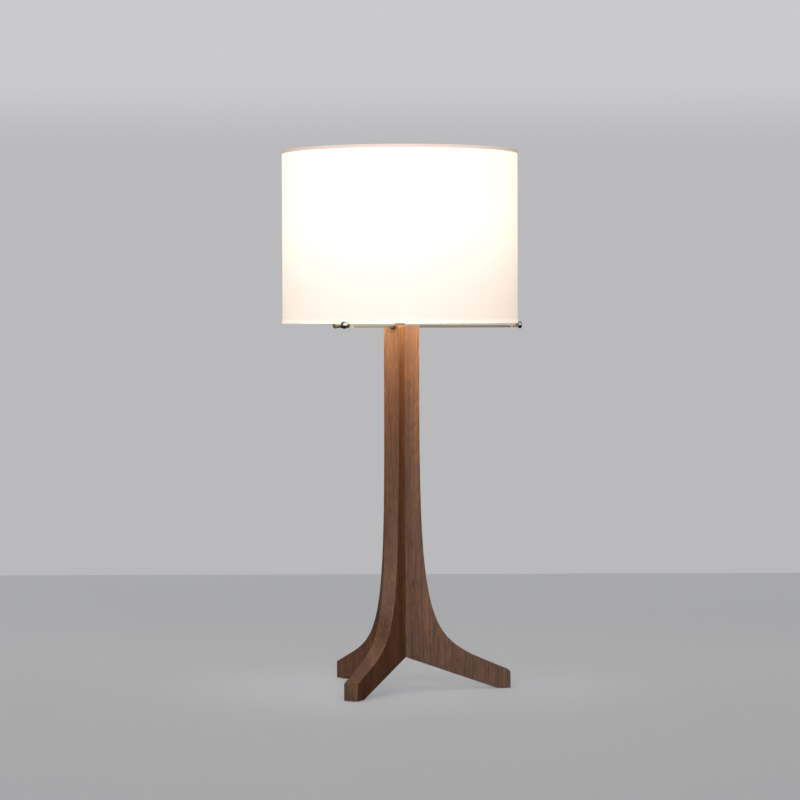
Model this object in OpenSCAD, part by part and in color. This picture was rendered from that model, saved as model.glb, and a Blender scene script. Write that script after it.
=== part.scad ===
// Table lamp: a column of three mitred wooden fins, a three-armed metal spider let into its top,
// a cloth drum shade that stands on the arms, and an LED light engine on a threaded stem.
// All sizes are in millimetres. The origin is on the table top, on the column's axis.
// +Z is up and the first fin points along +X.

/* [Column] */
// Height of the wood's top above the table
wood_top = 471.3; // [420:0.1:560]
// Thickness of each fin
fin_t = 19.05; // [18:0.05:24]
// Reach of the fin's straight upper edge from the axis
fin_reach = 23.9; // [23:0.1:34]
// Length of the straight upper stretch of the outer edge
fin_straight = 100; // [60:0.1:140]
// Pull of the outer curve at its upper end
curve_pull_top = 275; // [240:1:320]
// Pull of the outer curve at its lower end
curve_pull_foot = 76.6; // [50:1:90]
// Reach of the foot's end from the axis
foot_reach = 141.5; // [125:0.1:160]
// Height of the foot's end face, with its pad
foot_h = 22.2; // [18:0.1:30]
// Length of the straight stretch behind the foot's end
foot_straight = 35.5; // [25:0.1:45]
// Slope of the foot's top, in degrees
foot_slope = 23; // [18:0.1:28]
// Radius of the foot's upper corner
foot_round = 2; // [0.5:0.1:3]
// Length of the flat under the foot
foot_flat = 17.8; // [16:0.1:24]
// Height of the arch between the feet, at the axis
arch_h = 43.8; // [36:0.1:52]
// Diameter of the bore that carries the cord up the column
wire_bore_d = 10.5; // [8:0.1:11]
// Thickness of the splines in the mitres
spline_t = 2.4; // [1.5:0.1:2.6]
// Width of the splines, across the mitre
spline_w = 9.8; // [7:0.1:10]
// Distance of the splines from the axis
spline_reach = 7.9; // [7.2:0.1:8]
// Diameter of the foot pads
pad_d = 12; // [8:0.5:15]
// Thickness of the foot pads
pad_t = 3; // [2:0.1:4]
// How far a pad stands proud of the wood
pad_proud = 0.8; // [0.5:0.1:1.5]
// Bore of the cord bush
bush_bore_d = 6.8; // [5:0.1:7.5]
// Length of the cord bush
bush_l = 16; // [10:0.5:24]

/* [Spider] */
// Thickness of the spider's plate
spider_t = 3.175; // [2:0.005:4]
// Width of an arm
arm_w = 9.525; // [8:0.005:12]
// Diameter of the hub
hub_d = 17; // [15.5:0.1:17.6]
// Distance of the arm screws from the axis
arm_screw_reach = 16.5; // [15:0.1:19]
// Length of the arm screws
arm_screw_l = 16; // [10:0.5:25]
// Height of a tip block
block_h = 5.5; // [5.2:0.05:7]
// Thickness of a tip block's cheeks, beside the arm
block_cheek = 1.5; // [1.2:0.1:2]
// Length of a tip block
block_l = 11; // [9:0.1:16]
// Length of the raised seat on a tip block
seat_l = 4; // [3.6:0.1:5]
// Height of the raised seat over the rest of the block
seat_rise = 1.1; // [0.6:0.1:1.2]
// Depth of the arm's seat in a tip block
block_seat = 6.8; // [5:0.1:7]
// Diameter of the stop screw's head
stop_head_d = 9; // [6:0.1:10]
// Length of the stop screw's head
stop_head_l = 5; // [3:0.1:7]
// Diameter of the stop screw's shank
stop_shank_d = 2.5; // [2:0.1:2.8]

/* [Shade] */
// Outside diameter of the shade
shade_d = 304.8; // [250:0.1:360]
// Height of the shade
shade_h = 221.8; // [180:0.1:300]
// Thickness of the laminated wall
shade_wall_t = 1; // [0.8:0.05:1.5]
// Thickness of the hem tape
hem_t = 0.4; // [0.3:0.05:0.6]
// Height of the hem on the outside
hem_h = 4; // [3.8:0.1:8]
// Diameter of the wire rings
ring_d = 3; // [2:0.1:3.4]
// Gap between the shade's edge and the heads of the stop screws
shade_play = 1; // [0.5:0.1:3]
// Width of the wall's glued lap
lap_w = 12; // [8:0.5:20]

/* [Light engine] */
// Diameter of the threaded stem
stem_d = 10; // [8:0.1:10]
// Bore of the threaded stem
stem_bore_d = 7; // [5:0.1:7.4]
// Diameter of the spacer sleeve
sleeve_d = 14; // [12:0.1:16]
// Height of the spacer sleeve
sleeve_h = 40; // [12:0.5:60]
// Width across the flats of the stem nuts
nut_af = 14; // [13:0.1:14.4]
// Height of the stem nuts
nut_h = 4; // [3:0.1:5]
// Diameter of the driver housing
housing_d = 84; // [82:0.5:100]
// Height of the driver housing
housing_h = 28; // [27:0.5:40]
// Wall of the driver housing
housing_wall = 1.2; // [1:0.1:1.6]
// Number of air slots round the housing
slot_count = 24; // [12:1:30]
// Thickness of the engine plate
plate_t = 3; // [2.5:0.1:4]
// Width of the engine plate's rim outside the diffuser tube
plate_rim = 11; // [10.5:0.1:12]
// Wall of the diffuser tube
diffuser_wall = 2.5; // [2:0.1:3]
// Height of the diffuser tube
diffuser_h = 110; // [80:0.5:125]
// Thickness of the diffuser's cap
cap_t = 2.5; // [2:0.1:4]
// Room between the heat sink's flats and the diffuser tube
flat_room = 10.5; // [10:0.1:11.5]
// Width of the heat sink's flats
flat_w = 22; // [21:0.1:23]
// Width of an LED board
led_board_w = 20; // [18:0.1:20.5]
// Rows of LEDs on each board
led_rows = 9; // [4:1:11]

// Diameter of the leads' insulation
lead_d = 1.4; // [1:0.1:1.6]

/* [Dimmer] */
// Distance of the dimmer's axis from the housing's edge
dimmer_edge = 15; // [14:0.1:16]
// Diameter of the dimmer's knob
knob_d = 16; // [12:0.1:18]
// Height of the dimmer's knob
knob_h = 8; // [6:0.1:9]
// Diameter of the dimmer's shaft
shaft_d = 6; // [5:0.1:6.2]

/* [Hidden] */
$fn = 96;
eps = 0.01;
fins = 3;
fin_step = 360 / fins;
fit = 0.1;
thread_fit = 0.02;
run_fit = 0.05;

// Heights above the table
wood_foot = pad_proud;
spider_z = wood_top - spider_t;
block_top = spider_z + block_h;
shade_gap = 0.3;
shade_z = block_top + shade_gap;
shade_top = shade_z + shade_h;
housing_z = wood_top + sleeve_h;
floor_z = housing_z + housing_wall;
plate_z = housing_z + housing_h;
engine_z = plate_z + plate_t;
groove = 1;
diffuser_d = housing_d - 2 * plate_rim;
tube_r_in = diffuser_d / 2 - diffuser_wall;
flat_reach = tube_r_in - flat_room;
diffuser_z = engine_z - groove;
cap_z = diffuser_z + diffuser_h;

// Column details
curve_steps = 36;
foot_in = foot_reach - foot_flat;
pocket_d = max(hub_d, nut_af / cos(30)) + 2 * fit;
pocket_room = 3;
pocket_depth = spider_t + nut_h + pocket_room;
bush_flange_d = 15;
bush_flange_t = 2;
bush_seat_z = arch_h + 0.6;
spline_end_gap = 4;
spline_z0 = bush_seat_z - bush_flange_t + bush_l + spline_end_gap;
spline_z1 = wood_top - pocket_depth - 2 * spline_end_gap;
arm_screw_d = 3;
arm_screw_head_d = 5.4;
arm_screw_head_h = 1.8;
socket_depth = 1.1;
socket_ratio = 0.65;

// Spider and stop screws
stop_face = shade_d / 2 + shade_play;
block_in = stop_face - block_l;
arm_end = block_in + block_seat;
stop_rise = 0.3;
stop_z = wood_top + stop_rise;
block_w = arm_w + 2 * block_cheek;
stop_shank_l = block_l - block_seat - 1;
dome_r = stop_head_d;

// Shade rings and hems
shade_r = shade_d / 2;
wall_r_out = shade_r - hem_t;
wall_r_in = wall_r_out - shade_wall_t;
hem_roll_r = ring_d / 2 + hem_t;
ring_r_at = wall_r_in - hem_roll_r;
lap_t = shade_wall_t / 2;

// Light engine
stem_tail = 2.5;
stem_z0 = spider_z - nut_h - stem_tail;
washer_d = 20;
washer_t = 1.2;
locknut_z = floor_z + washer_t;
stem_z1 = locknut_z + nut_h + stem_tail;
post_d = 7;
post_gap = 2.3;
post_reach = housing_d / 2 - housing_wall - post_gap - post_d / 2;
post_top_d = 5;
post_angles = [20, 160, 270];
board_lift = 10;
board_t = 1.6;
board_z = floor_z + board_lift;
board_top = board_z + board_t;
board_gap = 1.2;
board_r = housing_d / 2 - housing_wall - board_gap;
board_hole_d = 24;
screw_d = 3;
screw_head_d = 5.6;
screw_head_h = 2;
slot_w = 2.2;
slot_h = 12;
sink_top_gap = 1;
sink_h = diffuser_h - groove - sink_top_gap;
sink_core_d = 12;
core_bore_d = 4.2;
flat_t = 3;
web_t = 2.4;
corner_fin_room = 4.5;
corner_fin_reach = tube_r_in - corner_fin_room;
pad_sheet_t = 0.5;
led_board_t = 1.6;
sink_margin = 2;
led_board_h = sink_h - 2 * sink_margin;
led_size = 5;
led_t = 0.9;
led_margin = 12;
board_screw_margin = 4;
board_screw_d = 2.5;
cap_spigot = 3;
cap_rim = 1.5;
knob_nut_d = 12;
knob_nut_h = 6;
first_led_angle = -90;
lead_bend = 2;
lead_face_gap = 0.1;
lead_pad_in = 2;
led_face = flat_reach + pad_sheet_t + led_board_t;
lead_reach = led_face + lead_face_gap + lead_d / 2;
lead_heights = [5, 8];
grommet_bore_d = 3.8;
grommet_d = 5;
grommet_flange_d = 6;
grommet_flange_t = 1;
grommet_gap = 0.5;
grommet_r = tube_r_in - grommet_gap - grommet_flange_d / 2;
grommet_across = sqrt(pow(grommet_r, 2) - pow(lead_reach, 2));
lead_pitch = 2;
lead_across = [grommet_across - lead_pitch / 2, grommet_across + lead_pitch / 2];
jumper_heights = [6.4, 9.4];
jumper_pad_in = 0.6;

// Dimmer and terminal block
dimmer_angle = -60;
dimmer_reach = housing_d / 2 - dimmer_edge;
dimmer_body_d = 16.4;
dimmer_body_h = 8;
bush_thread_d = 7;
dimmer_nut_af = 10;
dimmer_nut_h = 2;
bush_thread_l = 4;
knob_gap = 0.4;
knob_top_z = housing_z - dimmer_nut_h - knob_gap;
knob_z = knob_top_z - knob_h;
knob_face_t = 1.6;
shaft_room = 3;
terminal_size = [18, 14, 11];
terminal_edge = 19.5;
terminal_at = [-15, terminal_edge - housing_d / 2];
terminal_poles = 3;
terminal_pitch = terminal_size[0] / terminal_poles;
terminal_hole_z = 4;
terminal_wire_d = 3;
terminal_screw_d = 3.5;
terminal_screw_l = 3.5;
lead_entry = 2;
board_edge_y = -3;
lead_landing_y = board_edge_y + 2;
dimmer_lead_at = [1, 4];
dimmer_lead_z = 5;
dimmer_lead_gap = 0.4;

wood = "#7a5038";
wood_dark = "#5f3c27";
satin = "#9a9384";
bright = "#c9cbce";
cloth = "#fff6e6";
white = "#eeeeea";
opal = "#fffbf0";
black = "#2a2a2a";
green = "#2f6b46";
copper = "#b5793c";
red = "#a33327";

// Points of a cubic curve from a to d, pulled towards b and c
function curve(a, b, c, d, steps) = [
    for (i = [0:steps])
        let (t = i / steps, s = 1 - t)
        s * s * s * a + 3 * s * s * t * b + 3 * s * t * t * c + t * t * t * d
];

// The fin seen from the side: reach from the axis against height
curve_foot = [foot_reach - foot_straight, foot_h + foot_straight * tan(foot_slope)];
curve_top = [fin_reach, wood_top - fin_straight];
foot_turn = 90 - foot_slope;
foot_corner = [foot_reach - foot_round, foot_h - foot_round * tan(foot_turn / 2)];
fin_outline = concat(
    [[0, arch_h], [foot_in, wood_foot], [foot_reach, wood_foot]],
    [for (a = [0:foot_turn / 6:foot_turn + eps]) foot_corner + foot_round * [cos(a), sin(a)]],
    curve(
        curve_foot,
        curve_foot + curve_pull_foot * [-cos(foot_slope), sin(foot_slope)],
        curve_top - [0, curve_pull_top],
        curve_top,
        curve_steps
    ),
    [[fin_reach, wood_top], [0, wood_top]]
);

// Copies of the children at each fin's direction
module at_fins() {
    for (i = [0:fins - 1])
        rotate(i * fin_step) children();
}

module tube(d, bore, h) {
    difference() {
        cylinder(d = d, h = h);
        translate([0, 0, -1]) cylinder(d = bore, h = h + 2);
    }
}

// A wire in the plane of Y and Z: along +Y for a length, round a bend, then up
module bent_wire(run, rise) {
    rotate([-90, 0, 0]) cylinder(d = lead_d, h = run - lead_bend, $fn = 32);
    translate([0, run - lead_bend, lead_bend]) rotate([90, 0, 90]) rotate(-90)
        rotate_extrude(angle = 90, $fn = 64) translate([lead_bend, 0]) circle(d = lead_d, $fn = 32);
    translate([0, run, lead_bend]) cylinder(d = lead_d, h = rise - lead_bend, $fn = 32);
}

// A hexagonal nut from its width across the flats
module hex(af, h) {
    cylinder(d = af / cos(30), h = h, $fn = 6);
}

module spline_bars(clearance) {
    for (i = [0:fins - 1])
        rotate((i + 0.5) * fin_step)
            translate([spline_reach, 0, (spline_z0 + spline_z1) / 2])
                cube([
                    spline_t + 2 * clearance,
                    spline_w + 2 * clearance,
                    spline_z1 - spline_z0 + 2 * clearance
                ], center = true);
}

// Everything that is bored or routed out of the fins
module fin_cuts() {
    cylinder(d = wire_bore_d, h = wood_top + 1);
    translate([0, 0, bush_seat_z - arch_h]) cylinder(d = bush_flange_d + 2 * fit, h = arch_h);
    translate([0, 0, wood_top - pocket_depth]) cylinder(d = pocket_d, h = pocket_depth + 1);
    spline_bars(fit / 2);
    at_fins() {
        translate([0, -arm_w / 2 - fit, spider_z]) cube([foot_reach, arm_w + 2 * fit, wood_top]);
        translate([arm_screw_reach, 0, spider_z - arm_screw_l])
            cylinder(d = arm_screw_d + 2 * thread_fit, h = arm_screw_l + 1);
        translate([foot_reach - foot_flat / 2, 0, 0])
            cylinder(d = pad_d + 2 * fit, h = pad_t);
    }
}

// A fin with its inner edge mitred to half the angle between two fins
module fin() {
    wedge = foot_reach + 10;
    difference() {
        intersection() {
            rotate([90, 0, 0]) linear_extrude(fin_t, center = true) polygon(fin_outline);
            linear_extrude(wood_top + 1)
                polygon([
                    [0, 0],
                    [wedge, wedge * tan(fin_step / 2)],
                    [wedge, -wedge * tan(fin_step / 2)]
                ]);
        }
        fin_cuts();
    }
}

module fin_right() {
    color(wood) fin();
}

module fin_front() {
    color(wood) rotate(-fin_step) fin();
}

module fin_rear() {
    color(wood) rotate(fin_step) fin();
}

module mitre_splines() {
    color(wood_dark) spline_bars(0);
}

module foot_pads() {
    color(black) at_fins()
        translate([foot_reach - foot_flat / 2, 0, 0]) cylinder(d = pad_d, h = pad_t);
}

module cord_bush() {
    color(black) difference() {
        union() {
            translate([0, 0, bush_seat_z - bush_flange_t])
                cylinder(d = bush_flange_d, h = bush_flange_t);
            translate([0, 0, bush_seat_z - bush_flange_t])
                cylinder(d = wire_bore_d - fit, h = bush_l);
        }
        translate([0, 0, bush_seat_z - bush_flange_t - 1]) cylinder(d = bush_bore_d, h = bush_l + 2);
    }
}

// A countersunk screw with its head's face at height 0
module arm_screw() {
    difference() {
        union() {
            translate([0, 0, -arm_screw_head_h])
                cylinder(d1 = arm_screw_d, d2 = arm_screw_head_d, h = arm_screw_head_h);
            translate([0, 0, -arm_screw_l]) cylinder(d = arm_screw_d, h = arm_screw_l - eps);
        }
        translate([0, 0, -socket_depth]) hex(socket_ratio * arm_screw_d, 2 * socket_depth);
    }
}

module spider() {
    color(satin) difference() {
        translate([0, 0, spider_z]) union() {
            cylinder(d = hub_d, h = spider_t);
            at_fins() translate([0, -arm_w / 2, 0]) cube([arm_end, arm_w, spider_t]);
        }
        translate([0, 0, spider_z - 1]) cylinder(d = stem_d + 2 * fit, h = spider_t + 2);
        at_fins() translate([arm_screw_reach, 0, wood_top]) {
            translate([0, 0, -spider_t - 1]) cylinder(d = arm_screw_d + 2 * fit, h = spider_t + 2);
            translate([0, 0, -arm_screw_head_h]) cylinder(
                d1 = arm_screw_d + 2 * thread_fit,
                d2 = arm_screw_head_d + 2 * thread_fit,
                h = arm_screw_head_h + eps
            );
        }
    }
}

module spider_screws() {
    color(bright) at_fins() translate([arm_screw_reach, 0, wood_top]) arm_screw();
}

// Blocks on the arms' tips: the shade's edge stands on their raised seats
module tip_blocks() {
    color(satin) at_fins() difference() {
        union() {
            translate([block_in, -block_w / 2, spider_z]) cube([block_l, block_w, block_h - seat_rise]);
            translate([stop_face - seat_l, -block_w / 2, spider_z]) cube([seat_l, block_w, block_h]);
        }
        translate([block_in - 1, -arm_w / 2 - fit / 2, spider_z - 1])
            cube([block_seat + 1, arm_w + fit, spider_t + 1 + run_fit]);
        translate([stop_face + 1, 0, stop_z]) rotate([0, -90, 0])
            cylinder(d = stop_shank_d + 2 * thread_fit, h = stop_shank_l + 1);
    }
}

module stop_screws() {
    color(bright) at_fins() translate([stop_face, 0, stop_z]) rotate([0, 90, 0]) {
        intersection() {
            cylinder(d = stop_head_d, h = stop_head_l);
            translate([0, 0, stop_head_l - dome_r]) sphere(r = dome_r);
        }
        translate([0, 0, eps - stop_shank_l]) cylinder(d = stop_shank_d, h = stop_shank_l);
    }
}

// The wall's cross-section is the same all round, with a glued lap at the back
module shade_wall() {
    color(cloth) union() {
        translate([0, 0, shade_z + hem_t]) tube(2 * wall_r_out, 2 * wall_r_in, shade_h - 2 * hem_t);
        translate([0, 0, shade_z + hem_h + 1]) rotate(90 - lap_w / wall_r_out * 90 / PI)
            rotate_extrude(angle = lap_w / wall_r_out * 180 / PI)
                translate([wall_r_out - eps, 0]) square([lap_t, shade_h - 2 * hem_h - 2]);
    }
}

module wire_ring() {
    rotate_extrude() translate([ring_r_at, 0]) circle(d = ring_d - run_fit, $fn = 32);
}

module shade_bottom_ring() {
    color(bright) translate([0, 0, shade_z + hem_roll_r]) wire_ring();
}

module shade_top_ring() {
    color(bright) translate([0, 0, shade_top - hem_roll_r]) wire_ring();
}

// Tape rolled round the wire and up the outside of the wall
module hem() {
    rotate_extrude() difference() {
        union() {
            translate([ring_r_at, hem_roll_r]) circle(r = hem_roll_r, $fn = 32);
            translate([ring_r_at, 0]) square([shade_r - ring_r_at, hem_h]);
        }
        translate([ring_r_at, hem_roll_r]) circle(d = ring_d, $fn = 32);
        translate([wall_r_in, hem_t]) square([shade_wall_t, hem_h]);
        translate([ring_r_at - eps, 2 * hem_roll_r]) square([wall_r_in - ring_r_at + 2 * eps, hem_h]);
    }
}

module shade_bottom_hem() {
    color(cloth) translate([0, 0, shade_z]) hem();
}

module shade_top_hem() {
    color(cloth) translate([0, 0, shade_top]) mirror([0, 0, 1]) hem();
}

module stem() {
    color(bright) translate([0, 0, stem_z0]) tube(stem_d, stem_bore_d, stem_z1 - stem_z0);
}

module stem_hex_nut() {
    difference() {
        hex(nut_af, nut_h);
        translate([0, 0, -1]) cylinder(d = stem_d + 2 * thread_fit, h = nut_h + 2);
    }
}

module stem_nut() {
    color(bright) translate([0, 0, spider_z - nut_h]) stem_hex_nut();
}

module stem_sleeve() {
    color(bright) translate([0, 0, wood_top]) tube(sleeve_d, stem_d + 2 * fit, sleeve_h);
}

module stem_washer() {
    color(bright) translate([0, 0, floor_z]) tube(washer_d, stem_d + 2 * fit, washer_t);
}

module stem_locknut() {
    color(bright) translate([0, 0, locknut_z]) stem_hex_nut();
}

module at_posts() {
    for (a = post_angles)
        rotate(a) translate([post_reach, 0, 0]) children();
}

module at_dimmer() {
    rotate(dimmer_angle) translate([dimmer_reach, 0, 0]) children();
}

// A round cup with air slots round its wall
module driver_housing() {
    color(white) difference() {
        translate([0, 0, housing_z]) cylinder(d = housing_d, h = housing_h);
        translate([0, 0, floor_z]) cylinder(d = housing_d - 2 * housing_wall, h = housing_h);
        translate([0, 0, housing_z - 1]) cylinder(d = stem_d + 2 * fit, h = housing_wall + 2);
        at_posts() translate([0, 0, housing_z - 1])
            cylinder(d = screw_d + 2 * fit, h = housing_wall + 2);
        at_dimmer() translate([0, 0, housing_z - 1])
            cylinder(d = bush_thread_d + 2 * fit, h = housing_wall + 2);
        for (i = [0:slot_count - 1])
            rotate((i + 0.5) * 360 / slot_count)
                translate([
                    housing_d / 2 - 2 * housing_wall,
                    -slot_w / 2,
                    housing_z + (housing_h - slot_h) / 2
                ])
                    cube([3 * housing_wall, slot_w, slot_h]);
    }
}

// Stepped posts: the driver board rests on the step
module housing_posts() {
    color(bright) at_posts() difference() {
        union() {
            translate([0, 0, floor_z]) cylinder(d = post_d, h = board_lift);
            translate([0, 0, floor_z]) cylinder(d = post_top_d, h = plate_z - floor_z);
        }
        translate([0, 0, floor_z - 1])
            cylinder(d = screw_d + 2 * thread_fit, h = board_lift - 2);
        translate([0, 0, plate_z - board_lift])
            cylinder(d = screw_d + 2 * thread_fit, h = board_lift + 1);
    }
}

// A pan-head screw pointing down, with the underside of its head at height 0
module pan_screw(d, head_d, head_h, l) {
    difference() {
        union() {
            intersection() {
                cylinder(d = head_d, h = head_h);
                translate([0, 0, head_h - head_d]) sphere(r = head_d);
            }
            translate([0, 0, -l]) cylinder(d = d, h = l + eps);
        }
        translate([0, 0, head_h - socket_depth]) hex(socket_ratio * d, 2 * socket_depth);
    }
}

module housing_screws() {
    color(bright) at_posts() translate([0, 0, housing_z]) mirror([0, 0, 1])
        pan_screw(screw_d, screw_head_d, screw_head_h, board_lift - 3);
}

module engine_plate() {
    color(bright) difference() {
        translate([0, 0, plate_z]) cylinder(d = housing_d, h = plate_t);
        translate([0, 0, diffuser_z])
            tube(diffuser_d + 2 * fit, diffuser_d - 2 * diffuser_wall - 2 * fit, groove + 1);
        translate([0, 0, plate_z - 1]) cylinder(d = core_bore_d + 2 * fit, h = plate_t + 2);
        at_posts() translate([0, 0, plate_z - 1])
            cylinder(d = screw_d + 2 * fit, h = plate_t + 2);
        at_grommet() translate([0, 0, plate_z - 1])
            cylinder(d = grommet_d + 2 * run_fit, h = plate_t + 2);
    }
}

module plate_screws() {
    color(bright) at_posts() translate([0, 0, engine_z])
        pan_screw(screw_d, screw_head_d, screw_head_h, board_lift - 1);
}

// A half-round board that leaves the cord's way in at the middle open
module driver_board() {
    color(green) difference() {
        translate([0, 0, board_z]) cylinder(r = board_r, h = board_t);
        translate([0, 0, board_z - 1]) cylinder(d = board_hole_d, h = board_t + 2);
        translate([-housing_d, board_edge_y - housing_d, board_z - 1])
            cube([2 * housing_d, housing_d, board_t + 2]);
        at_posts() translate([0, 0, board_z - 1])
            cylinder(d = post_top_d + 2 * fit, h = board_t + 2);
    }
}

// A shell core with a window on each side of the leg that carries the winding
module transformer() {
    core = [17, 11, 9.5];
    leg = 3;
    core_at = [-10.3, board_r - 18.6];
    window_w = (core[0] - 3 * leg) / 2;
    winding = [core[0] - 2 * leg - 0.4, core[1] + 4, core[2] - leg - 0.4];
    translate([core_at[0], core_at[1], board_top]) {
        color(black) difference() {
            cube(core);
            for (x = [leg, 2 * leg + window_w])
                translate([x, -1, leg / 2]) cube([window_w, core[1] + 2, core[2] - leg]);
        }
        color(copper) for (x = [leg + 0.2, 2 * leg + window_w + 0.2])
            translate([x, -2, leg / 2 + 0.2]) cube([window_w - 0.4, winding[1], winding[2]]);
    }
}

module capacitors() {
    can_d = 9;
    can_h = 11;
    can_reach = board_r - 9.6;
    can_angle = 36.9;
    color(black) for (a = [-can_angle, can_angle])
        rotate(90 + a) translate([can_reach, 0, board_top]) cylinder(d = can_d, h = can_h);
}

module board_chips() {
    chips = [[17, 5, 7, 6, 2], [-26, 4, 9, 7, 3], [-27, 14, 5, 5, 6], [board_r - 15.1, 12, 4, 9, 5]];
    color(black) for (c = chips)
        translate([c[0], c[1], board_top]) cube([c[2], c[3], c[4]]);
}

module terminal_block() {
    color(white) translate([terminal_at[0], terminal_at[1], floor_z]) difference() {
        translate([-terminal_size[0] / 2, -terminal_size[1] / 2, 0]) cube(terminal_size);
        for (i = [0:terminal_poles - 1])
            translate([(i + 0.5) * terminal_pitch - terminal_size[0] / 2, 0, terminal_hole_z]) {
                translate([0, -terminal_size[1], 0]) rotate([-90, 0, 0])
                    cylinder(d = terminal_wire_d, h = 2 * terminal_size[1], $fn = 24);
                cylinder(d = terminal_screw_d + 2 * run_fit, h = terminal_size[2], $fn = 24);
            }
    }
}

module terminal_screws() {
    color(bright) for (i = [0:terminal_poles - 1])
        translate([
            terminal_at[0] + (i + 0.5) * terminal_pitch - terminal_size[0] / 2,
            terminal_at[1],
            floor_z + terminal_hole_z + terminal_wire_d / 2
        ])
            cylinder(d = terminal_screw_d, h = terminal_screw_l, $fn = 24);
}

// Two leads from the terminal block and two from the dimmer, up to the board's underside
module driver_leads() {
    entry_y = terminal_at[1] + terminal_size[1] / 2 - lead_entry;
    color(red) for (i = [0:1])
        translate([
            terminal_at[0] + (i + 0.5) * terminal_pitch - terminal_size[0] / 2,
            entry_y,
            floor_z + terminal_hole_z
        ])
            bent_wire(lead_landing_y - entry_y, board_lift - terminal_hole_z);
    dimmer_x = dimmer_reach * cos(dimmer_angle);
    dimmer_y = dimmer_reach * sin(dimmer_angle);
    color(red) for (at = dimmer_lead_at) {
        x = dimmer_x + at;
        side_y = dimmer_y + sqrt(pow(dimmer_body_d / 2, 2) - pow(at, 2));
        start_y = side_y + dimmer_lead_gap;
        translate([x, start_y, floor_z + dimmer_lead_z])
            bent_wire(lead_landing_y - start_y, board_lift - dimmer_lead_z);
    }
}

// Places its children at the plate's wire hole, in line with the edge of the second LED board
module at_grommet() {
    rotate(first_led_angle + 120) translate([lead_reach, grommet_across, 0]) children();
}

module lead_grommet() {
    color(black) at_grommet() difference() {
        union() {
            translate([0, 0, plate_z]) cylinder(d = grommet_d, h = plate_t);
            translate([0, 0, engine_z]) cylinder(d = grommet_flange_d, h = grommet_flange_t);
        }
        translate([0, 0, plate_z - 1]) cylinder(d = grommet_bore_d, h = plate_t + 3);
    }
}

// Two leads from the driver board, through the grommet, to the second LED board's lower end
module led_leads() {
    color(red) rotate(first_led_angle + 120) for (i = [0:1]) {
        run = lead_across[i] - led_board_w / 2 + lead_pad_in;
        height = engine_z + lead_heights[i];
        translate([lead_reach, lead_across[i] - run, height]) rotate([0, 180, 0])
            bent_wire(run, height - board_top);
    }
}

// Pairs of leads that join neighbouring LED boards round the heat sink's corners
module board_jumpers() {
    pad_across = led_board_w / 2 - jumper_pad_in;
    pad_angle = 60 - atan(pad_across / lead_reach);
    pad_radius = norm([lead_reach, pad_across]);
    along = pad_radius * cos(pad_angle);
    across = pad_radius * sin(pad_angle);
    top = corner_fin_reach + lead_d;
    centre = (along * along + across * across - top * top) / (2 * (along - top));
    radius = top - centre;
    half_angle = atan2(across, along - centre);
    color(red) for (i = [0, 1], z = jumper_heights)
        rotate(first_led_angle + 60 + 120 * i)
            translate([centre, 0, engine_z + sink_h - z]) rotate(-half_angle)
                rotate_extrude(angle = 2 * half_angle) translate([radius, 0]) circle(d = lead_d);
}

module dimmer_body() {
    color(black) at_dimmer() difference() {
        union() {
            translate([0, 0, floor_z]) cylinder(d = dimmer_body_d, h = dimmer_body_h);
            translate([0, 0, housing_z - dimmer_nut_h])
                cylinder(d = bush_thread_d, h = bush_thread_l);
        }
        translate([0, 0, housing_z - dimmer_nut_h - 1])
            cylinder(d = shaft_d + 2 * run_fit, h = dimmer_nut_h + dimmer_body_h);
    }
}

module dimmer_nut() {
    color(bright) at_dimmer() translate([0, 0, housing_z - dimmer_nut_h]) difference() {
        hex(dimmer_nut_af, dimmer_nut_h);
        translate([0, 0, -1]) cylinder(d = bush_thread_d + 2 * thread_fit, h = dimmer_nut_h + 2);
    }
}

module dimmer_shaft() {
    color(bright) at_dimmer() translate([0, 0, knob_z + knob_face_t])
        cylinder(d = shaft_d, h = floor_z + dimmer_body_h - shaft_room - knob_z - knob_face_t);
}

// Grooves for the fingers round a knob of a diameter and height
module grip_flutes(d, h, step) {
    for (a = [0:step:359])
        rotate(a) translate([d / 2 + 0.3, 0, -1]) cylinder(d = 1.6, h = h + 2, $fn = 24);
}

// A small tapered knob with grip flutes round its edge
module dimmer_knob() {
    color(black) at_dimmer() difference() {
        translate([0, 0, knob_z]) cylinder(d1 = knob_d - 1.6, d2 = knob_d, h = knob_h);
        translate([0, 0, knob_z + knob_face_t])
            cylinder(d = shaft_d + 2 * thread_fit, h = knob_h);
        translate([0, 0, knob_z]) grip_flutes(knob_d, knob_h, 20);
    }
}

module at_flats() {
    for (i = [0:2])
        rotate(first_led_angle + i * 120) children();
}

// Copies of the children at the LED board's screws, pointing outwards from the flat's face
module at_board_screws() {
    at_flats()
        for (z = [board_screw_margin, led_board_h - board_screw_margin])
            translate([flat_reach, 0, engine_z + sink_margin + z]) rotate([0, 90, 0]) children();
}

// One extruded section: a cored hub, three flats for the boards, and fins in the corners
module heat_sink() {
    color(bright) difference() {
        translate([0, 0, engine_z]) linear_extrude(sink_h) difference() {
            union() {
                circle(d = sink_core_d);
                at_flats() {
                    translate([flat_reach - flat_t, -flat_w / 2]) square([flat_t, flat_w]);
                    translate([0, -web_t / 2]) square([flat_reach, web_t]);
                    rotate(60) {
                        translate([0, -web_t / 2]) square([corner_fin_reach, web_t]);
                        for (x = [12, 17])
                            translate([x, -5]) square([1.6, 10]);
                    }
                }
            }
            circle(d = core_bore_d);
        }
        at_board_screws() translate([0, 0, -flat_t - 2])
            cylinder(d = board_screw_d + 2 * thread_fit, h = flat_t + 3);
    }
}

module core_screw() {
    color(bright) translate([0, 0, plate_z]) mirror([0, 0, 1])
        pan_screw(core_bore_d - 2 * thread_fit, 8, 2.6, plate_t + 12);
}

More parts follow.
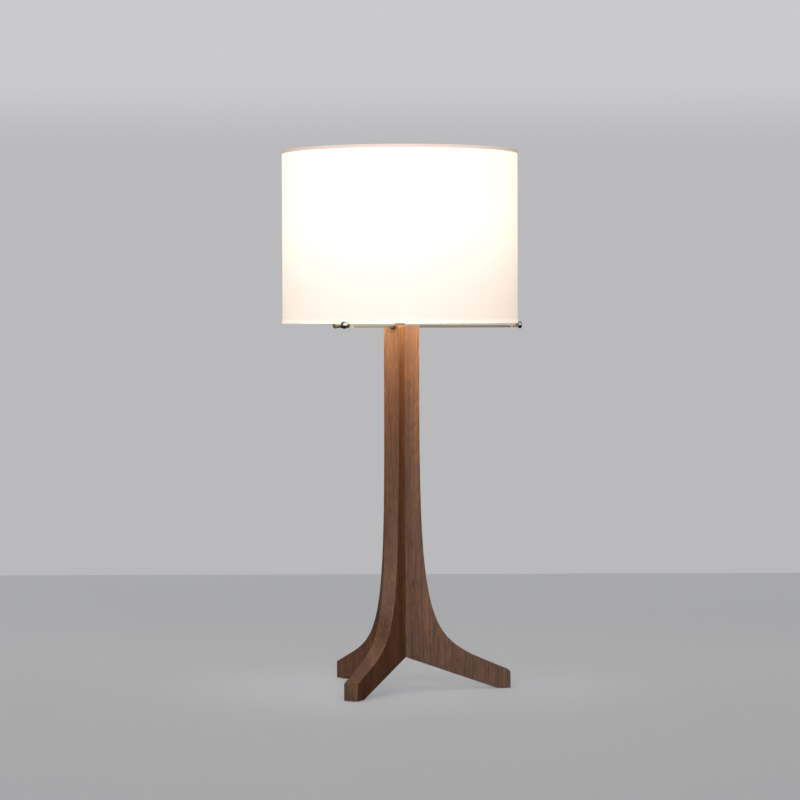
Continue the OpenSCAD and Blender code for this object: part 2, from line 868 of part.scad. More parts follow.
module thermal_pads() {
    color(white) difference() {
        at_flats() translate([flat_reach, -led_board_w / 2, engine_z + sink_margin])
            cube([pad_sheet_t, led_board_w, led_board_h]);
        at_board_screws() translate([0, 0, -1]) cylinder(d = board_screw_d + 2 * fit, h = 3);
    }
}

module led_boards() {
    color(white) difference() {
        at_flats() translate([flat_reach + pad_sheet_t, -led_board_w / 2, engine_z + sink_margin])
            cube([led_board_t, led_board_w, led_board_h]);
        at_board_screws() translate([0, 0, -1]) cylinder(d = board_screw_d + 2 * fit, h = 4);
    }
}

module leds() {
    row_step = (led_board_h - 2 * led_margin) / (led_rows - 1);
    color("#ffe9a8") at_flats()
        for (side = [-1, 1], i = [0:led_rows - 1])
            translate([
                led_face + led_t / 2,
                side * led_board_w / 4,
                engine_z + sink_margin + led_margin + i * row_step
            ])
                cube([led_t, led_size, led_size], center = true);
}

module board_screws() {
    color(bright) at_board_screws() translate([0, 0, pad_sheet_t + led_board_t])
        pan_screw(board_screw_d, 4.4, 1.4, pad_sheet_t + led_board_t + flat_t);
}

module diffuser() {
    color(opal) translate([0, 0, diffuser_z])
        tube(diffuser_d, diffuser_d - 2 * diffuser_wall, diffuser_h);
}

// A cap with a spigot that fits the tube, and vents over the heat sink
module diffuser_cap() {
    spigot_d = diffuser_d - 2 * diffuser_wall - 2 * fit;
    color(white) difference() {
        union() {
            translate([0, 0, cap_z]) cylinder(d = diffuser_d + 2 * cap_rim, h = cap_t);
            translate([0, 0, cap_z - cap_spigot + eps]) tube(spigot_d, spigot_d - 3, cap_spigot);
        }
        translate([0, 0, cap_z - cap_spigot])
            cylinder(d = core_bore_d + 2 * fit, h = cap_t + 2 * cap_spigot);
        for (i = [0:11])
            rotate(i * 30 + 15) translate([10, -1.25, cap_z - 1]) cube([12, 2.5, cap_t + 2]);
    }
}

module cap_screw() {
    shank_l = cap_t + 14;
    color(bright) translate([0, 0, cap_z + cap_t]) {
        difference() {
            cylinder(d = knob_nut_d, h = knob_nut_h);
            grip_flutes(knob_nut_d, knob_nut_h, 20);
        }
        translate([0, 0, -shank_l])
            cylinder(d = core_bore_d - 2 * thread_fit, h = shank_l + eps);
    }
}

fin_right();
fin_front();
fin_rear();
mitre_splines();
foot_pads();
cord_bush();
spider();
spider_screws();
tip_blocks();
stop_screws();
shade_wall();
shade_bottom_ring();
shade_top_ring();
shade_bottom_hem();
shade_top_hem();
stem();
stem_nut();
stem_sleeve();
stem_washer();
stem_locknut();
driver_housing();
housing_posts();
housing_screws();
engine_plate();
plate_screws();
driver_board();
transformer();
capacitors();
board_chips();
terminal_block();
terminal_screws();
dimmer_body();
dimmer_nut();
dimmer_shaft();
dimmer_knob();
driver_leads();
led_leads();
board_jumpers();
lead_grommet();
heat_sink();
core_screw();
thermal_pads();
led_boards();
leds();
board_screws();
diffuser();
diffuser_cap();
cap_screw();
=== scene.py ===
"""A lit table lamp: three mitred walnut fins, a metal spider, a drum shade and a light engine."""

import math

import bpy
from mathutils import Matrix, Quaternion, Vector


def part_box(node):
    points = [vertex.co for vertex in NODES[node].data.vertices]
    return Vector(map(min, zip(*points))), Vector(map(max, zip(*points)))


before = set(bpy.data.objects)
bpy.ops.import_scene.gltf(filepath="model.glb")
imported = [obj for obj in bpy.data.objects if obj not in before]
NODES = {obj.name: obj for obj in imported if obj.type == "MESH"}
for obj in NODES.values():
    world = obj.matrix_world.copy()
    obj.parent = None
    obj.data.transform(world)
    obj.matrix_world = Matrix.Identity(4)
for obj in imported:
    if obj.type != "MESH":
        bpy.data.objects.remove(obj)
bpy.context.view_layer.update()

# The photograph's camera: where it stood, what it aimed at, and its lens
CAMERA_TURN = math.radians(3.48)
CAMERA_DISTANCE = 3.604
CAMERA_HEIGHT = 0.4716
AIM_HEIGHT = 0.3746
AIM_SIDE = -0.0005
CAMERA_ROLL = math.radians(0.18)
LENS_MM = 125.35
SENSOR_MM = 36.0

# The floor ends in a straight far edge, where the background starts
FLOOR_REACH = 1.66
FLOOR_SIDES = 6
FLOOR_GREY = (0.600, 0.606, 0.622)
# Painted light on the floor: a pool of light round the lamp's foot, and a lighter stretch behind the lamp
PAINTED_POOL_GREY = (0.664, 0.690, 0.728)
# The floor glows by itself, a painted light that also softens the lamp's shadows on it
FLOOR_GLOW = 0.28
PAINTED_POOL_RADIUS = 0.40
PAINTED_POOL_FULL = 0.05
PAINTED_BACK_LIFT = 0.05
PAINTED_BACK_LIFT_START = -0.25
PAINTED_BACK_LIFT_END = 0.45
BACKGROUND = (0.491, 0.491, 0.503)
BACKGROUND_TOP = (0.591, 0.591, 0.604)

# The studio's soft light: a wide window behind the camera, a weak fill behind the lamp, and a ceiling.
# Turns count from the front to the left; heights are the upward part of a direction
WINDOW_TURN = math.radians(12)
WINDOW_HALF = math.radians(43)
WINDOW_SOFT = math.radians(14)
WINDOW_LIGHT = 1.95
FILL_TURN = math.radians(142)
FILL_HALF = math.radians(48)
FILL_LIGHT = 0.50
BAND_LOW = (-0.08, 0.05)
BAND_TOP = (0.66, 0.44)
CEILING_EDGE = (0.70, 0.88)
CEILING_LIGHT = 0.40
DARK_LIGHT = 0.008

# Where the background seen by the camera turns from its lower grey to its upper one
GRADIENT_START = 0.060
GRADIENT_END = 0.090

FIN_ANGLES = {"fin_right": 0.0, "fin_front": -120.0, "fin_rear": 120.0}
FIN_EDGE = 0.0007
COLUMN_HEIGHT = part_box("fin_right")[1].z

# Each fin's painted light and shade along its height, from the foot to the top, as factors on the walnut's
# own lightness
RIGHT_PAINTED_LIGHT = [(0.0, 0.84), (0.08, 0.90), (0.2, 1.10), (0.36, 1.16), (0.5, 1.06), (0.8, 1.02), (1.0, 0.98)]
FRONT_PAINTED_LIGHT = [
    (0.0, 0.86),
    (0.1, 0.88),
    (0.25, 0.97),
    (0.4, 1.06),
    (0.5, 1.0),
    (0.62, 0.86),
    (0.76, 0.74),
    (0.88, 0.76),
    (1.0, 0.97),
]
REAR_PAINTED_LIGHT = [(0.0, 0.88), (0.2, 0.86), (0.5, 0.92), (1.0, 0.95)]

# The walnut's rings, in metres: how wide, how far they wander, and where an arched figure opens
RING_WIDTH = 0.0046
RING_TREMBLE = 0.0030
ARCH_START = 0.30
ARCH_END = 0.49

# The shade's light: its colour, and its strength along the height inside and outside
SHADE_LOW, SHADE_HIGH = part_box("shade_wall")
SHADE_RADIUS = SHADE_HIGH.x
SHADE_HEIGHT = SHADE_HIGH.z - SHADE_LOW.z
THREAD_PITCH = 0.0011
GLOW = (1.0, 0.88, 0.80)
INNER_GLOW = (1.0, 0.80, 0.52)
INNER_PROFILE = [(0.0, 8.6), (0.14, 7.4), (0.30, 4.4), (0.45, 3.0), (1.0, 2.4)]
WALL_GLOW = [(0.0, 0.66), (0.13, 0.70), (0.25, 0.76), (0.37, 0.84), (0.50, 0.93), (0.62, 0.99), (1.0, 0.97)]

# The LEDs stand in rows round the axis, the first one at the front
LED_ROWS = 3
FIRST_ROW = -math.pi / 2
OPAL_GLOW = (1.0, 0.84, 0.68)
OPAL_LIGHT = 14.0


def link(tree, source, target):
    tree.links.new(source, target)


def add(tree, kind, **settings):
    """A new shader node, with its properties and its inputs' values set by name."""
    made = tree.nodes.new(kind)
    for key, value in settings.items():
        if key in made.inputs and not hasattr(made, key):
            made.inputs[key].default_value = value
        else:
            setattr(made, key, value)
    return made


def value_of(tree, operation, a, b=None, c=None):
    """A math node's result from sockets or numbers."""
    made = tree.nodes.new("ShaderNodeMath")
    made.operation = operation
    for i, x in enumerate((a, b, c)):
        if x is None:
            continue
        if isinstance(x, (int, float)):
            made.inputs[i].default_value = x
        else:
            link(tree, x, made.inputs[i])
    return made.outputs[0]


def stretched(tree, vector, scale, rotation=(0.0, 0.0, 0.0), location=(0.0, 0.0, 0.0)):
    made = tree.nodes.new("ShaderNodeMapping")
    made.inputs["Scale"].default_value = scale
    made.inputs["Rotation"].default_value = rotation
    made.inputs["Location"].default_value = location
    link(tree, vector, made.inputs["Vector"])
    return made.outputs["Vector"]


def noise(tree, vector, detail=2.0, roughness=0.5):
    made = add(tree, "ShaderNodeTexNoise", Scale=1.0, Detail=detail, Roughness=roughness)
    link(tree, vector, made.inputs["Vector"])
    return made.outputs["Fac"]


def ramp(tree, factor, stops, smooth=False):
    """A colour ramp: stops are pairs of a place and a grey or a colour."""
    made = tree.nodes.new("ShaderNodeValToRGB")
    made.color_ramp.interpolation = "B_SPLINE" if smooth else "LINEAR"
    elements = made.color_ramp.elements
    while len(elements) < len(stops):
        elements.new(0.5)
    for element, (place, colour) in zip(elements, stops):
        if isinstance(colour, (int, float)):
            colour = (colour, colour, colour)
        element.position = place
        element.color = (*colour, 1.0)
    link(tree, factor, made.inputs["Fac"])
    return made.outputs["Color"]


def scaled(stops, factor):
    return [(place, level * factor) for place, level in stops]


def mix(tree, factor, a, b, blend="MIX"):
    """Mixes two colours, each a socket or a colour."""
    made = tree.nodes.new("ShaderNodeMix")
    made.data_type = "RGBA"
    made.blend_type = blend
    for name, x in (("Factor", factor), ("A", a), ("B", b)):
        kinds = "VALUE" if name == "Factor" else "RGBA"
        socket = next(s for s in made.inputs if s.name == name and s.type == kinds)
        if isinstance(x, (int, float)):
            socket.default_value = x
        elif isinstance(x, tuple):
            socket.default_value = (*x, 1.0)
        else:
            link(tree, x, socket)
    return next(s for s in made.outputs if s.type == "RGBA")


def grey(tree, value):
    made = add(tree, "ShaderNodeCombineColor")
    for name in ("Red", "Green", "Blue"):
        link(tree, value, made.inputs[name])
    return made.outputs["Color"]


def smooth_step(tree, value, start, end):
    made = add(tree, "ShaderNodeMapRange", interpolation_type="SMOOTHSTEP")
    made.inputs["From Min"].default_value = start
    made.inputs["From Max"].default_value = end
    link(tree, value, made.inputs["Value"])
    return made.outputs["Result"]


def bump(tree, shader, height, distance, strength=1.0):
    made = tree.nodes.new("ShaderNodeBump")
    made.inputs["Distance"].default_value = distance
    made.inputs["Strength"].default_value = strength
    link(tree, height, made.inputs["Height"])
    link(tree, made.outputs["Normal"], shader.inputs["Normal"])


def new_material(name, **sockets):
    """A material's node tree, its shader and its object coordinates."""
    material = bpy.data.materials.new(name)
    material.use_nodes = True
    tree = material.node_tree
    shader = tree.nodes["Principled BSDF"]
    for key, value in sockets.items():
        shader.inputs[key.replace("_", " ")].default_value = value
    place = tree.nodes.new("ShaderNodeTexCoord").outputs["Object"]
    return material, tree, shader, place


def walnut(name, fin_angle, pith, seed, painted_light, sway_by, lean):
    """Walnut sawn along the fin: growth rings round a wavering pith line, with fibres and pores.

    The board's painted light and shade along its length comes as a list of factors on the walnut's own
    lightness. sway_by is how far the pith line wanders. lean brings it nearer towards the top, which opens
    the rings into arches.
    """
    material, tree, shader, place = new_material(name, IOR=1.5, Specular_IOR_Level=0.60)
    local = stretched(tree, place, (1, 1, 1), rotation=(0, 0, -math.radians(fin_angle)))
    moved = stretched(tree, local, (1, 1, 1), location=seed)
    parts = add(tree, "ShaderNodeSeparateXYZ")
    link(tree, local, parts.inputs[0])

    # Rings: the distance from the pith, which wanders slowly along the board
    wander = noise(tree, stretched(tree, moved, (2.0, 2.0, 4.5)), detail=1.0)
    rise = add(tree, "ShaderNodeMapRange", interpolation_type="SMOOTHSTEP")
    rise.inputs["From Min"].default_value = ARCH_START
    rise.inputs["From Max"].default_value = ARCH_END
    rise.inputs["To Max"].default_value = lean
    link(tree, parts.outputs["Z"], rise.inputs["Value"])
    sway = value_of(tree, "MULTIPLY_ADD", wander, sway_by, -sway_by / 2)
    sway = value_of(tree, "ADD", sway, rise.outputs["Result"])
    ripple = noise(tree, stretched(tree, moved, (60, 60, 14)), detail=2.0)
    tremble = value_of(tree, "MULTIPLY_ADD", ripple, RING_TREMBLE, -RING_TREMBLE / 2)
    across = value_of(tree, "SUBTRACT", parts.outputs["X"], pith[0])
    deep = value_of(tree, "ADD", value_of(tree, "SUBTRACT", parts.outputs["Y"], pith[1]), sway)
    radius = value_of(
        tree,
        "SQRT",
        value_of(tree, "ADD", value_of(tree, "POWER", across, 2.0), value_of(tree, "POWER", deep, 2.0)),
    )
    ring = value_of(tree, "DIVIDE", value_of(tree, "ADD", radius, tremble), RING_WIDTH)
    phase = value_of(tree, "FRACT", ring)
    late = ramp(tree, phase, [(0.0, 0.02), (0.68, 0.26), (0.84, 1.0), (0.92, 0.05), (1.0, 0.02)])

    # Fibres, pores and broad streaks of heartwood colour
    fibre = noise(tree, stretched(tree, moved, (700, 700, 16)), detail=3.0, roughness=0.65)
    fleck = noise(tree, stretched(tree, moved, (430, 430, 120)), detail=2.0, roughness=0.6)
    pore = noise(tree, stretched(tree, moved, (1100, 1100, 40)), detail=1.0)
    pores = ramp(tree, pore, [(0.0, 1.0), (0.32, 1.0), (0.40, 0.0), (1.0, 0.0)])
    streak = noise(tree, stretched(tree, moved, (52, 52, 2.2)), detail=4.0, roughness=0.6)
    cloud = noise(tree, stretched(tree, moved, (9, 9, 5)), detail=2.0)

    base = ramp(
        tree,
        streak,
        [
            (0.30, (0.092, 0.034, 0.0115)),
            (0.45, (0.150, 0.060, 0.0220)),
            (0.58, (0.196, 0.083, 0.0330)),
            (0.72, (0.250, 0.112, 0.0480)),
        ],
    )
    ringed = mix(tree, value_of(tree, "MULTIPLY", late, 0.60), base, (0.062, 0.021, 0.007))
    rosy = mix(tree, value_of(tree, "MULTIPLY", cloud, 0.30), ringed, (0.190, 0.083, 0.042))
    fibred = mix(tree, 0.75, rosy, ramp(tree, fibre, [(0.25, 0.45), (0.75, 1.5)]), blend="MULTIPLY")
    flecked = mix(tree, 0.8, fibred, ramp(tree, fleck, [(0.28, 0.66), (0.70, 1.34)]), blend="MULTIPLY")
    coloured = mix(tree, value_of(tree, "MULTIPLY", pores, 0.55), flecked, (0.030, 0.011, 0.005))

    # The painted light and shade goes through its ramp at half, and is doubled after it
    along = value_of(tree, "DIVIDE", parts.outputs["Z"], COLUMN_HEIGHT)
    with_painted_light = mix(tree, 1.0, coloured, ramp(tree, along, scaled(painted_light, 0.5), smooth=True), blend="MULTIPLY")
    link(tree, mix(tree, 1.0, with_painted_light, (2.0, 2.0, 2.0), blend="MULTIPLY"), shader.inputs["Base Color"])

    rough = value_of(tree, "MULTIPLY_ADD", fibre, 0.20, 0.34)
    rough = value_of(tree, "ADD", rough, value_of(tree, "MULTIPLY", pores, 0.15))
    link(tree, rough, shader.inputs["Roughness"])
    relief = value_of(tree, "SUBTRACT", fibre, value_of(tree, "MULTIPLY", pores, 0.8))
    bump(tree, shader, relief, 0.00012, 0.6)
    return material


def plain_finish(name, colour, grain, change, rough, relief, **sockets):
    """A manufactured finish: its colour and gloss vary a little with a fine grain."""
    material, tree, shader, place = new_material(name, **sockets)
    fine = noise(tree, stretched(tree, place, grain), detail=3.0)
    broad = noise(tree, stretched(tree, place, tuple(g * 0.08 for g in grain)), detail=2.0)
    both = value_of(tree, "MULTIPLY_ADD", broad, 0.5, value_of(tree, "MULTIPLY", fine, 0.5))
    dark = tuple(c * (1 - change) for c in colour)
    light = tuple(min(1.0, c * (1 + change)) for c in colour)
    link(tree, ramp(tree, both, [(0.3, dark), (0.7, light)]), shader.inputs["Base Color"])
    low, high = rough
    link(tree, value_of(tree, "MULTIPLY_ADD", fine, high - low, low), shader.inputs["Roughness"])
    bump(tree, shader, fine, relief, 0.5)
    return material


def around(tree, place):
    """Arc length round the axis and height, in metres, and the angle, for patterns on the shade."""
    parts = add(tree, "ShaderNodeSeparateXYZ")
    link(tree, place, parts.inputs[0])
    angle = value_of(tree, "ARCTAN2", parts.outputs["Y"], parts.outputs["X"])
    arc = value_of(tree, "MULTIPLY", angle, SHADE_RADIUS)
    return arc, parts.outputs["Z"], angle


def faces_axis(tree):
    """1 where a surface looks towards the lamp's axis, 0 elsewhere."""
    geometry = tree.nodes.new("ShaderNodeNewGeometry")
    flat = stretched(tree, geometry.outputs["Position"], (1, 1, 0))
    along = add(tree, "ShaderNodeVectorMath", operation="DOT_PRODUCT")
    link(tree, flat, along.inputs[0])
    link(tree, geometry.outputs["True Normal"], along.inputs[1])
    return value_of(tree, "LESS_THAN", along.outputs["Value"], -0.05)


def weave(tree, arc, height, pitch):
    """Plain weave: crossing threads of uneven thickness. Returns its height and its unevenness."""
    joined = add(tree, "ShaderNodeCombineXYZ")
    link(tree, arc, joined.inputs["X"])
    link(tree, height, joined.inputs["Y"])
    flat = joined.outputs["Vector"]
    warp_slub = noise(tree, stretched(tree, flat, (900, 14, 1)), detail=2.0)
    weft_slub = noise(tree, stretched(tree, flat, (14, 900, 1)), detail=2.0)
    turn = 2 * math.pi / pitch
    warp = value_of(tree, "SINE", value_of(tree, "MULTIPLY", arc, turn))
    weft = value_of(tree, "SINE", value_of(tree, "MULTIPLY", height, turn))
    threads = value_of(tree, "MULTIPLY", warp, weft)
    slub = value_of(tree, "ADD", warp_slub, weft_slub)
    return threads, slub


def lit_rows(tree, angle):
    """1 in front of each row of LEDs, and -1 midway between rows."""
    turned = value_of(tree, "MULTIPLY", value_of(tree, "ADD", angle, -FIRST_ROW), LED_ROWS)
    return value_of(tree, "COSINE", turned)


def lit_cloth(name, profile, strength, tint):
    """Linen on a white laminate, lit from inside. profile gives the outer glow against height."""
    material, tree, shader, place = new_material(
        name,
        Roughness=0.85,
        Specular_IOR_Level=0.2,
        Coat_Weight=1.0,
        Coat_Roughness=0.8,
        Coat_IOR=1.2,
        Coat_Tint=(*tint, 1.0),
        Sheen_Weight=0.15,
        Sheen_Roughness=0.5,
    )
    arc, height, angle = around(tree, place)
    threads, slub = weave(tree, arc, height, THREAD_PITCH)
    linen = ramp(tree, slub, [(0.6, (0.44, 0.43, 0.41)), (1.0, (0.50, 0.49, 0.475))])
    link(tree, linen, shader.inputs["Base Color"])
    rise = value_of(tree, "DIVIDE", value_of(tree, "SUBTRACT", height, SHADE_LOW.z), SHADE_HEIGHT)
    strip = value_of(tree, "POWER", value_of(tree, "MAXIMUM", lit_rows(tree, angle), 0.0), 80.0)
    slubbed = value_of(tree, "MULTIPLY_ADD", slub, 0.05, 0.95)
    uneven = grey(tree, value_of(tree, "MULTIPLY_ADD", strip, 0.03, slubbed))
    outer = mix(tree, 1.0, ramp(tree, rise, profile, smooth=True), GLOW, blend="MULTIPLY")
    # The bright inner profile goes through its ramp at a tenth, and is scaled up after it
    inner = ramp(tree, rise, scaled(INNER_PROFILE, 0.1), smooth=True)
    inner = mix(tree, 1.0, inner, INNER_GLOW, blend="MULTIPLY")
    inner = mix(tree, 1.0, inner, (10.0, 10.0, 10.0), blend="MULTIPLY")
    bright = mix(tree, faces_axis(tree), outer, inner)
    link(tree, mix(tree, 1.0, bright, uneven, blend="MULTIPLY"), shader.inputs["Emission Color"])
    shader.inputs["Emission Strength"].default_value = strength
    bump(tree, shader, value_of(tree, "ADD", threads, slub), 0.00010, 0.35)
    return material


def opal(name):
    """Sandblasted opal acrylic round the LEDs, a little brighter at the rows."""
    material, tree, shader, place = new_material(name, Roughness=0.45, IOR=1.49)
    shader.inputs["Base Color"].default_value = (0.9, 0.88, 0.84, 1.0)
    parts = add(tree, "ShaderNodeSeparateXYZ")
    link(tree, place, parts.inputs[0])
    angle = value_of(tree, "ARCTAN2", parts.outputs["Y"], parts.outputs["X"])
    frost = noise(tree, stretched(tree, place, (400, 400, 400)))
    frosted = value_of(tree, "MULTIPLY_ADD", frost, 0.06, 0.9)
    level = value_of(tree, "MULTIPLY_ADD", lit_rows(tree, angle), 0.08, frosted)
    light = mix(tree, 1.0, grey(tree, level), OPAL_GLOW, blend="MULTIPLY")
    link(tree, light, shader.inputs["Emission Color"])
    shader.inputs["Emission Strength"].default_value = OPAL_LIGHT
    bump(tree, shader, frost, 0.00003, 0.4)
    return material


def paint(material, *names):
    for name in names:
        data = NODES[name].data
        data.materials.clear()
        data.materials.append(material)


def ease_edges(names, width):
    """Welds the imported facets, joins flat ones, and rounds the hard edges."""
    for name in names:
        piece = NODES[name]
        weld = piece.modifiers.new("Weld", "WELD")
        weld.merge_threshold = 0.000002
        flat = piece.modifiers.new("Flat", "DECIMATE")
        flat.decimate_type = "DISSOLVE"
        flat.angle_limit = math.radians(0.4)
        edge = piece.modifiers.new("Edge", "BEVEL")
        edge.width = width
        edge.segments = 3
        edge.limit_method = "ANGLE"
        edge.angle_limit = math.radians(30.0)


# Column
# Each board: its material, pith line, pattern seed, painted light and shade along its height, pith sway and
# lean
BOARDS = {
    "fin_right": ("walnut_right", (0.013, -0.0435), (0.31, 0.12, 0.07), RIGHT_PAINTED_LIGHT, 0.012, -0.024),
    "fin_front": ("walnut_front", (-0.020, 0.055), (0.72, 0.45, 0.26), FRONT_PAINTED_LIGHT, 0.085, 0.0),
    "fin_rear": ("walnut_rear", (0.030, -0.042), (0.17, 0.83, 0.51), REAR_PAINTED_LIGHT, 0.085, 0.0),
    "mitre_splines": ("walnut_spline", (0.0, 0.02), (0.9, 0.2, 0.4), REAR_PAINTED_LIGHT, 0.085, 0.0),
}
for name, (material_name, pith, seed, painted_light, sway_by, lean) in BOARDS.items():
    paint(walnut(material_name, FIN_ANGLES.get(name, 0.0), pith, seed, painted_light, sway_by, lean), name)
rubber = plain_finish("rubber", (0.035, 0.035, 0.036), (900, 900, 900), 0.25, (0.65, 0.85), 0.00006)
paint(rubber, "foot_pads", "cord_bush", "lead_grommet")

# Spider and its hardware
satin = plain_finish(
    "satin_metal", (0.061, 0.062, 0.061), (2600, 2600, 120), 0.10, (0.34, 0.48), 0.00001, Metallic=1.0
)
paint(satin, "spider", "stem_sleeve")
blasted = plain_finish(
    "blasted_steel", (0.15, 0.148, 0.14), (1500, 1500, 1500), 0.10, (0.42, 0.55), 0.00001, Metallic=0.7
)
paint(blasted, "tip_blocks")
polished = plain_finish(
    "polished_steel", (0.52, 0.52, 0.53), (1500, 1500, 1500), 0.05, (0.20, 0.30), 0.000003, Metallic=1.0
)
paint(polished, "stop_screws", "cap_screw")
steel = plain_finish(
    "bright_steel", (0.70, 0.70, 0.70), (1800, 1800, 1800), 0.05, (0.12, 0.24), 0.000006, Metallic=1.0
)
paint(
    steel,
    "spider_screws",
    "stem",
    "stem_nut",
    "stem_washer",
    "stem_locknut",
    "housing_posts",
    "housing_screws",
    "plate_screws",
    "dimmer_nut",
    "dimmer_shaft",
    "core_screw",
    "board_screws",
    "terminal_screws",
)

# Shade
paint(lit_cloth("shade_cloth", WALL_GLOW, 1.30, (0.94, 0.91, 0.87)), "shade_wall")
paint(lit_cloth("low_hem_tape", [(0.0, 0.86), (1.0, 0.86)], 1.2, (0.92, 0.89, 0.85)), "shade_bottom_hem")
paint(lit_cloth("top_hem_tape", [(0.0, 1.0), (1.0, 1.0)], 1.3, (0.59, 0.54, 0.51)), "shade_top_hem")
wire = plain_finish(
    "ring_wire", (0.55, 0.55, 0.54), (900, 900, 900), 0.08, (0.25, 0.4), 0.00001, Metallic=1.0
)
paint(wire, "shade_bottom_ring", "shade_top_ring")

# Light engine
enamel = plain_finish(
    "white_enamel", (0.80, 0.80, 0.78), (260, 260, 260), 0.03, (0.28, 0.40), 0.00003, Coat_Weight=0.3
)
paint(enamel, "driver_housing", "diffuser_cap")
anodised = plain_finish(
    "aluminium", (0.72, 0.72, 0.73), (2200, 2200, 90), 0.05, (0.30, 0.42), 0.00001, Metallic=1.0
)
paint(anodised, "engine_plate", "heat_sink")
paint(opal("opal_acrylic"), "diffuser")
paint(
    plain_finish("green_board", (0.03, 0.16, 0.07), (700, 700, 50), 0.25, (0.25, 0.45), 0.00003),
    "driver_board",
)
paint(
    plain_finish("white_board", (0.84, 0.84, 0.82), (700, 700, 50), 0.04, (0.3, 0.5), 0.00002),
    "led_boards",
)
paint(plain_finish("ferrite", (0.06, 0.06, 0.06), (500, 500, 500), 0.2, (0.5, 0.7), 0.00004), "transformer")
black = plain_finish("black_plastic", (0.022, 0.022, 0.023), (1200, 1200, 1200), 0.2, (0.42, 0.60), 0.00004)
paint(black, "capacitors", "board_chips", "dimmer_body", "dimmer_knob")
paint(
    plain_finish("terminal_ceramic", (0.80, 0.79, 0.74), (300, 300, 300), 0.04, (0.15, 0.3), 0.00002),
    "terminal_block",
)
paint(
    plain_finish("thermal_pad", (0.5, 0.55, 0.6), (900, 900, 900), 0.08, (0.6, 0.8), 0.00003),
    "thermal_pads",
)
paint(
    plain_finish("led_phosphor", (0.95, 0.78, 0.30), (900, 900, 900), 0.06, (0.3, 0.4), 0.00001),
    "leds",
)
paint(
    plain_finish("lead_insulation", (0.50, 0.05, 0.035), (700, 700, 40), 0.15, (0.35, 0.5), 0.00001),
    "driver_leads",
    "led_leads",
    "board_jumpers",
)

ease_edges(FIN_ANGLES, FIN_EDGE)

# Camera
back = Vector((-math.sin(CAMERA_TURN), -math.cos(CAMERA_TURN), 0.0))
side = Vector((math.cos(CAMERA_TURN), -math.sin(CAMERA_TURN), 0.0))
camera_data = bpy.data.cameras.new("camera")
camera_data.lens = LENS_MM
camera_data.sensor_width = SENSOR_MM
camera = bpy.data.objects.new("camera", camera_data)
camera.location = back * CAMERA_DISTANCE + Vector((0, 0, CAMERA_HEIGHT))
aim = side * AIM_SIDE + Vector((0, 0, AIM_HEIGHT))
camera.rotation_mode = "QUATERNION"
roll = Quaternion((0.0, 0.0, 1.0), -CAMERA_ROLL)
camera.rotation_quaternion = (aim - camera.location).to_track_quat("-Z", "Y") @ roll
bpy.context.scene.collection.objects.link(camera)
bpy.context.scene.camera = camera


def make_floor():
    """A flat pale floor with straight sides, one of them square to the camera."""
    corner = FLOOR_REACH / math.cos(math.pi / FLOOR_SIDES)
    points = []
    for i in range(FLOOR_SIDES):
        angle = math.pi / 2 + (i + 0.5) * 2 * math.pi / FLOOR_SIDES - CAMERA_TURN
        points.append((corner * math.cos(angle), corner * math.sin(angle), 0.0))
    mesh = bpy.data.meshes.new("floor")
    mesh.from_pydata(points, [], [list(range(FLOOR_SIDES))])
    floor = bpy.data.objects.new("floor", mesh)
    bpy.context.scene.collection.objects.link(floor)
    material, tree, shader, place = new_material("floor", Roughness=0.7, Specular_IOR_Level=0.15)
    far = add(tree, "ShaderNodeVectorMath", operation="LENGTH")
    link(tree, place, far.inputs[0])
    # A painted pool of light round the lamp, and a painted lighter floor behind it
    painted_pool = smooth_step(tree, far.outputs["Value"], PAINTED_POOL_RADIUS, PAINTED_POOL_FULL)
    along = add(tree, "ShaderNodeVectorMath", operation="DOT_PRODUCT")
    link(tree, place, along.inputs[0])
    along.inputs[1].default_value = (math.sin(CAMERA_TURN), math.cos(CAMERA_TURN), 0.0)
    painted_lift_behind = smooth_step(tree, along.outputs["Value"], PAINTED_BACK_LIFT_START, PAINTED_BACK_LIFT_END)
    speckle = noise(tree, stretched(tree, place, (60, 60, 60)), detail=3.0)
    speckled = value_of(tree, "MULTIPLY_ADD", speckle, 0.01, 0.995)
    level = value_of(tree, "MULTIPLY_ADD", painted_lift_behind, PAINTED_BACK_LIFT, speckled)
    painted = mix(tree, 1.0, mix(tree, painted_pool, FLOOR_GREY, PAINTED_POOL_GREY), grey(tree, level), blend="MULTIPLY")
    link(tree, painted, shader.inputs["Base Color"])
    # The floor's glow carries its painted colour, the painted pool and lighter back included
    link(tree, painted, shader.inputs["Emission Color"])
    shader.inputs["Emission Strength"].default_value = FLOOR_GLOW
    mesh.materials.append(material)
    floor.visible_glossy = False

    # The lit pieces' warm light stays off the floor, which the studio alone lights
    lit = bpy.data.collections.new("lit_by_lamp")
    lit.objects.link(floor)
    lit.collection_objects[0].light_linking.link_state = "EXCLUDE"
    for name in ("shade_wall", "shade_bottom_hem", "shade_top_hem", "diffuser"):
        NODES[name].light_linking.receiver_collection = lit


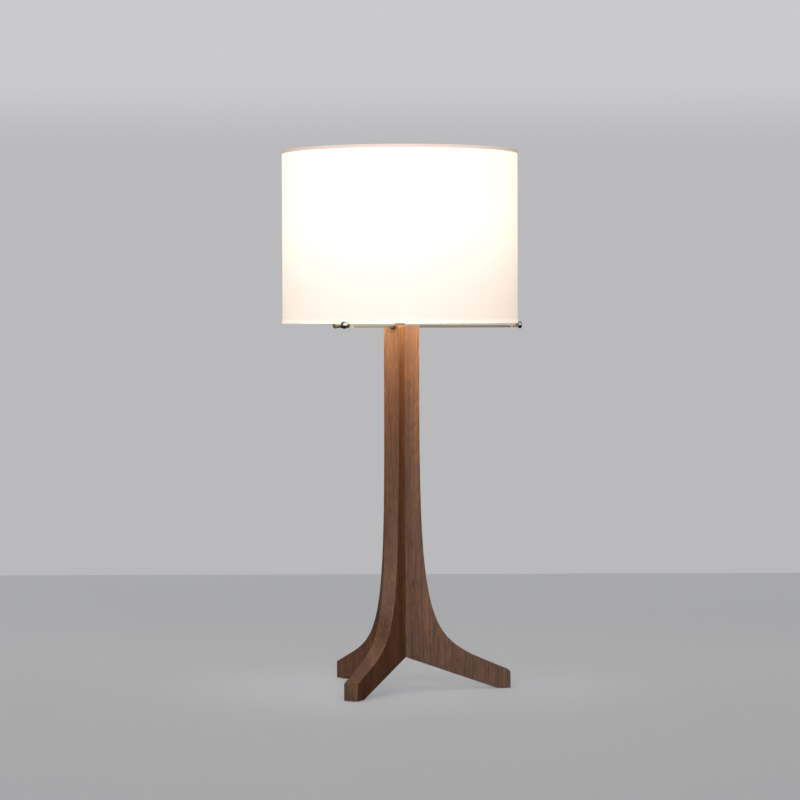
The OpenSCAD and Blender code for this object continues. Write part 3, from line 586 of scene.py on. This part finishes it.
def sector(tree, parts, centre, half):
    """1 for directions whose turn is within half of centre, 0 elsewhere. Both are angles."""
    ahead = value_of(tree, "MULTIPLY", parts.outputs["X"], -math.sin(centre))
    ahead = value_of(tree, "MULTIPLY_ADD", parts.outputs["Y"], -math.cos(centre), ahead)
    aside = value_of(tree, "MULTIPLY", parts.outputs["X"], -math.cos(centre))
    aside = value_of(tree, "MULTIPLY_ADD", parts.outputs["Y"], math.sin(centre), aside)
    turn = value_of(tree, "ABSOLUTE", value_of(tree, "ARCTAN2", aside, ahead))
    return smooth_step(tree, turn, half + WINDOW_SOFT, half - WINDOW_SOFT)


def make_world():
    """The camera sees a plain grey studio; a wide window, a weak fill and a ceiling light the lamp."""
    world = bpy.data.worlds.new("studio")
    bpy.context.scene.world = world
    world.use_nodes = True
    tree = world.node_tree
    sky = tree.nodes["Background"]
    parts = add(tree, "ShaderNodeSeparateXYZ")
    link(tree, tree.nodes.new("ShaderNodeTexCoord").outputs["Generated"], parts.inputs[0])
    height = parts.outputs["Z"]
    seen = mix(tree, smooth_step(tree, height, GRADIENT_START, GRADIENT_END), BACKGROUND, BACKGROUND_TOP)

    low = smooth_step(tree, height, *BAND_LOW)
    band = value_of(tree, "MULTIPLY", low, smooth_step(tree, height, *BAND_TOP))
    window = value_of(tree, "MULTIPLY", band, sector(tree, parts, WINDOW_TURN + CAMERA_TURN, WINDOW_HALF))
    fill = value_of(tree, "MULTIPLY", band, sector(tree, parts, FILL_TURN + CAMERA_TURN, FILL_HALF))
    ceiling = smooth_step(tree, height, *CEILING_EDGE)
    light = value_of(tree, "MULTIPLY_ADD", window, WINDOW_LIGHT, DARK_LIGHT)
    light = value_of(tree, "MULTIPLY_ADD", fill, FILL_LIGHT, light)
    light = value_of(tree, "MULTIPLY_ADD", ceiling, CEILING_LIGHT, light)
    direct = tree.nodes.new("ShaderNodeLightPath").outputs["Is Camera Ray"]
    link(tree, mix(tree, direct, grey(tree, light), seen), sky.inputs["Color"])


make_floor()
make_world()

scene = bpy.context.scene
scene.view_settings.view_transform = "Standard"
scene.view_settings.look = "None"

bpy.context.view_layer.update()
